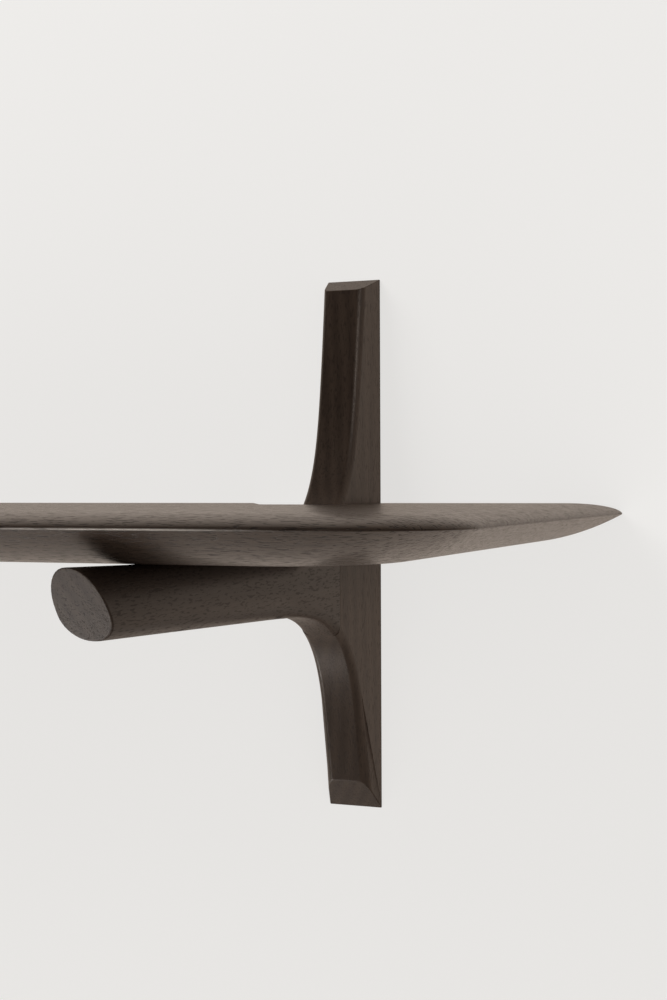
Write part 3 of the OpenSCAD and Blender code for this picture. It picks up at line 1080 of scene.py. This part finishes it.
@dataclass(frozen=True)
class SoftLight:
    """A square soft light: its place, its aim, its power in watts, what it reaches and where it shows."""

    name: str
    place: Triple
    aim: Triple
    size: float
    power: float
    reach: Lit = Lit.ALL
    in_gloss: bool = True

    def build(self) -> None:
        """Adds the light to the scene."""
        data = bpy.data.lights.new(self.name, "AREA")
        data.shape = "SQUARE"
        data.size = self.size
        data.energy = self.power
        lamp = bpy.data.objects.new(self.name, data)
        lamp.location = self.place
        way = Vector(self.aim) - Vector(self.place)
        lamp.rotation_euler = way.to_track_quat("-Z", "Y").to_euler()
        lamp.visible_glossy = self.in_gloss
        bpy.context.scene.collection.objects.link(lamp)
        if self.reach is not Lit.ALL:
            lamp.light_linking.receiver_collection = lit_collection(self.reach)


def lit_collection(reach: Lit) -> bpy.types.Collection:
    """The collection of the pieces that a light is kept to, made when it is first asked for."""
    found = bpy.data.collections.get(reach.value)
    if found is None:
        found = bpy.data.collections.new(reach.value)
        bpy.context.scene.collection.children.link(found)
    return found


@dataclass(frozen=True)
class Room:
    """The pale wall and floor, and the soft light.

    The paint glows by wall_glow. Polished wood sees it in mirrored_tone, and
    low down at reflected_low of its light. It casts cast_light of its glow on
    to matt surfaces. The sky gives ambient, and gloss_ambient in reflections.
    """

    wall_tone: Rgb = (0.82, 0.81, 0.795)
    mirrored_tone: Rgb = (0.72, 0.61, 0.52)
    wall_matt: float = 0.35
    wall_glow: float = 0.85
    reflected_low: float = 0.3
    cast_light: float = 0.4
    floor_level: float = -1.1
    ambient: float = 0.22
    gloss_ambient: float = 0.015
    gap: float = 0.6 * MM
    half_width: float = 6.0
    height: float = 4.0
    depth: float = 5.0

    def plane(self, name: str, corners: Sequence[Sequence[float]], finish: bpy.types.Material) -> None:
        """Adds one flat face of the room, which shows from its front side only."""
        bm = bmesh.new()
        bm.faces.new([bm.verts.new(corner) for corner in corners])
        piece = to_mesh(bm, name)
        piece.data.materials.append(finish)
        piece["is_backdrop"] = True

    def paint(self, name: str) -> bpy.types.Material:
        """Pale matt paint that glows evenly, dimmer low down in reflections, and clear from behind."""
        nodes, material, place = start_material(name)
        mottle = nodes.ramp(nodes.noise(nodes.scale(place, (2.0, 2.0, 2.0)), 2.0), 0.2, 0.8)
        tone = nodes.mix(mottle, (*self.wall_tone, 1.0), (*[c * 1.01 for c in self.wall_tone], 1.0))
        faint = nodes.mix(1.0, tone, (*[self.wall_matt] * 3, 1.0), blend="MULTIPLY")
        matt = nodes.add("BsdfDiffuse", {"Color": faint})
        height = nodes.add("SeparateXYZ", {0: place}).outputs[2]
        lit = nodes.ramp(height, -0.35, -0.05)
        lit = nodes.math("ADD", nodes.math("MULTIPLY", lit, 1 - self.reflected_low), self.reflected_low)
        rays = nodes.add("LightPath")
        tone = nodes.mix(rays.outputs["Is Glossy Ray"], tone, (*self.mirrored_tone, 1.0))
        dimming = nodes.math("MULTIPLY", rays.outputs["Is Glossy Ray"], nodes.math("SUBTRACT", 1.0, lit))
        bounce = nodes.math("MULTIPLY", rays.outputs["Is Diffuse Ray"], 1 - self.cast_light)
        dimming = nodes.math("ADD", dimming, bounce)
        strength = nodes.math("MULTIPLY", nodes.math("SUBTRACT", 1.0, dimming), self.wall_glow)
        glow = nodes.add("Emission", {"Color": tone, "Strength": strength})
        both = nodes.add("AddShader", {0: matt.outputs[0], 1: glow.outputs[0]})
        behind = nodes.add("NewGeometry").outputs["Backfacing"]
        clear = nodes.add("BsdfTransparent")
        finish_material(nodes, nodes.add("MixShader", {0: behind, 1: both.outputs[0], 2: clear.outputs[0]}))
        return material

    def build(self) -> None:
        """Sets up the wall, the floor, the lights and the sky."""
        wide, high, deep = self.half_width, self.height, self.depth
        low, back = self.floor_level, self.gap
        left_foot, right_foot = (-wide, back, low), (wide, back, low)
        paint = self.paint("room_paint")
        self.plane("wall", [left_foot, right_foot, (wide, back, high), (-wide, back, high)], paint)
        self.plane("floor", [(-wide, -deep, low), (wide, -deep, low), right_foot, left_foot], paint)
        self.light()
        self.sky()

    def light(self) -> None:
        """Three soft lights: one high on the left, one low by the wall and one on the right."""
        for lamp in (
            SoftLight("key", (-0.9, -1.1, 1.3), (0.3, 0.0, 0.0), size=1.2, power=16.0, in_gloss=False),
            SoftLight("low_fill", (-0.35, -0.15, -1.0), (0.25, -0.15, 0.0), size=0.8, power=13.0,
                      reach=Lit.SHELF),
            SoftLight("side_strip", (1.75, -0.85, 0.30), (0.32, 0.0, 0.06), size=0.45, power=9.0,
                      reach=Lit.SPINES),
        ):
            lamp.build()

    def sky(self) -> None:
        """Even pale light all round, which polished wood sees as a dim room with a light ceiling."""
        world = bpy.data.worlds.new("room_light")
        world.use_nodes = True
        bpy.context.scene.world = world
        nodes = Nodes(world.node_tree)
        split = nodes.add("SeparateXYZ", {0: nodes.add("TexCoord").outputs["Generated"]})
        ceiling = nodes.math("MULTIPLY", nodes.ramp(split.outputs[2], 0.2, 0.9), 0.12)
        dim = nodes.math("ADD", ceiling, self.gloss_ambient)
        glossy = nodes.add("LightPath").outputs["Is Glossy Ray"]
        strength = nodes.math("ADD", nodes.math("MULTIPLY", glossy, dim),
                              nodes.math("MULTIPLY", nodes.math("SUBTRACT", 1.0, glossy), self.ambient))
        sky = nodes.add("Background", {"Color": (1.0, 0.94, 0.88, 1.0), "Strength": strength})
        nodes.add("OutputWorld", {"Surface": sky.outputs[0]})


@dataclass(frozen=True)
class Viewpoint:
    """A camera just above the board's top, turned to look along the shelf at the right bracket."""

    place: Triple = (0.5810, -0.6915, 0.01836)
    turn: float = math.radians(21.55566)
    dip: float = math.radians(0.56914)
    tilt: float = 0.004
    lens: float = 54.36
    sensor: float = 36.0

    def build(self) -> None:
        """Makes the scene's camera."""
        ahead = Vector((
            -math.sin(self.turn) * math.cos(self.dip), math.cos(self.turn) * math.cos(self.dip),
            -math.sin(self.dip),
        ))
        right = Vector((math.cos(self.turn), math.sin(self.turn), 0))
        up = right.cross(ahead)
        camera_x = right * math.cos(self.tilt) - up * math.sin(self.tilt)
        camera_y = right * math.sin(self.tilt) + up * math.cos(self.tilt)
        data = bpy.data.cameras.new("camera")
        data.lens, data.sensor_width = self.lens, self.sensor
        data.clip_start, data.clip_end = 0.01, 50.0
        camera = bpy.data.objects.new("camera", data)
        turn = Matrix((camera_x, camera_y, -ahead)).transposed().to_4x4()
        camera.matrix_world = Matrix.Translation(self.place) @ turn
        bpy.context.scene.collection.objects.link(camera)
        bpy.context.scene.camera = camera
        bpy.context.scene.view_settings.view_transform = "Standard"


# ---------------------------------------------------------------- the whole


def dress_hardware(raw: bpy.types.Material, brass: bpy.types.Material, steel: bpy.types.Material) -> None:
    """Gives each packed dowel, insert, bolt, plate and screw its own finish.

    Args:
        raw: Unstained wood.
        brass: The threaded inserts' metal.
        steel: The metal of bolts, plates and screws.
    """
    finishes = {"arm_dowels": raw, "board_inserts": brass, "board_bolts": steel, "hanger": steel}
    for name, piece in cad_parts.items():
        for start, finish in finishes.items():
            if name.startswith(start):
                piece.data.materials.clear()
                piece.data.materials.append(finish)
                log.info("%s: %s", name, finish.name)


def main() -> None:
    """Builds the shelf, its room and its camera."""
    Viewpoint().build()
    Room().build()
    places = Places.read()
    board = Board(places)
    # The second group masks a highlight painted along the ridge, standing in for light caught by the arris.
    grain, edge, plating = wood_grain_group(), painted_ridge_highlight_group(), plated_metal_group()
    # A pale highlight painted along the board's front ridge, where the arris would catch the light; it
    # fades out short of the ends.
    highlight_line = PaintedRidgeHighlight(
        colour=(0.62, 0.56, 0.50), level=board.ridge, width=0.5 * MM,
        front=places.board_low.y + MM, end=0.40,
    )
    stained = Tones((0.031, 0.0205, 0.0150), (0.064, 0.043, 0.031), (0.009, 0.006, 0.005))
    raw = Tones((0.42, 0.27, 0.15), (0.55, 0.38, 0.23), (0.25, 0.15, 0.08))
    board_wood = StainedWood(
        "board_stain", Grain.ALONG_BOARD, stained, figure=0.6, pores=0.8, roughness=0.33,
        relief=0.10 * MM, coat=0.1, edge=highlight_line,
    )
    spine_wood = StainedWood(
        "spine_stain", Grain.UPRIGHT, stained, figure=0.45, pores=0.4, roughness=0.36,
        relief=0.04 * MM, shift=(0.31, 0.07, 0.02),
    )
    arm_wood = StainedWood(
        "arm_stain", Grain.OUT_FROM_WALL, stained, figure=0.5, pores=0.45, roughness=0.42,
        relief=0.04 * MM, shift=(0.12, 0.23, 0.05),
    )
    raw_wood = StainedWood(
        "raw_beech", Grain.OUT_FROM_WALL, raw, figure=0.6, pores=0.4, roughness=0.6,
        relief=0.04 * MM,
    )
    board.build(board_wood.build(grain, edge))
    bracket = Bracket(places)
    spine_finish, arm_finish = spine_wood.build(grain, edge), arm_wood.build(grain, edge)
    for side in ("right", "left"):
        bracket.build(side, spine_finish, arm_finish)
    brass = PlatedMetal("insert_brass", (0.72, 0.52, 0.24), (0.55, 0.38, 0.17), 0.28)
    steel = PlatedMetal("zinc_steel", (0.62, 0.63, 0.65), (0.45, 0.46, 0.48), 0.30)
    dress_hardware(raw_wood.build(grain, edge), brass.build(plating), steel.build(plating))
    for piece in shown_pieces():
        lit_collection(Lit.SHELF).objects.link(piece)
        if piece.name.startswith("bracket_spine"):
            lit_collection(Lit.SPINES).objects.link(piece)


if __name__ == "__main__":
    main()
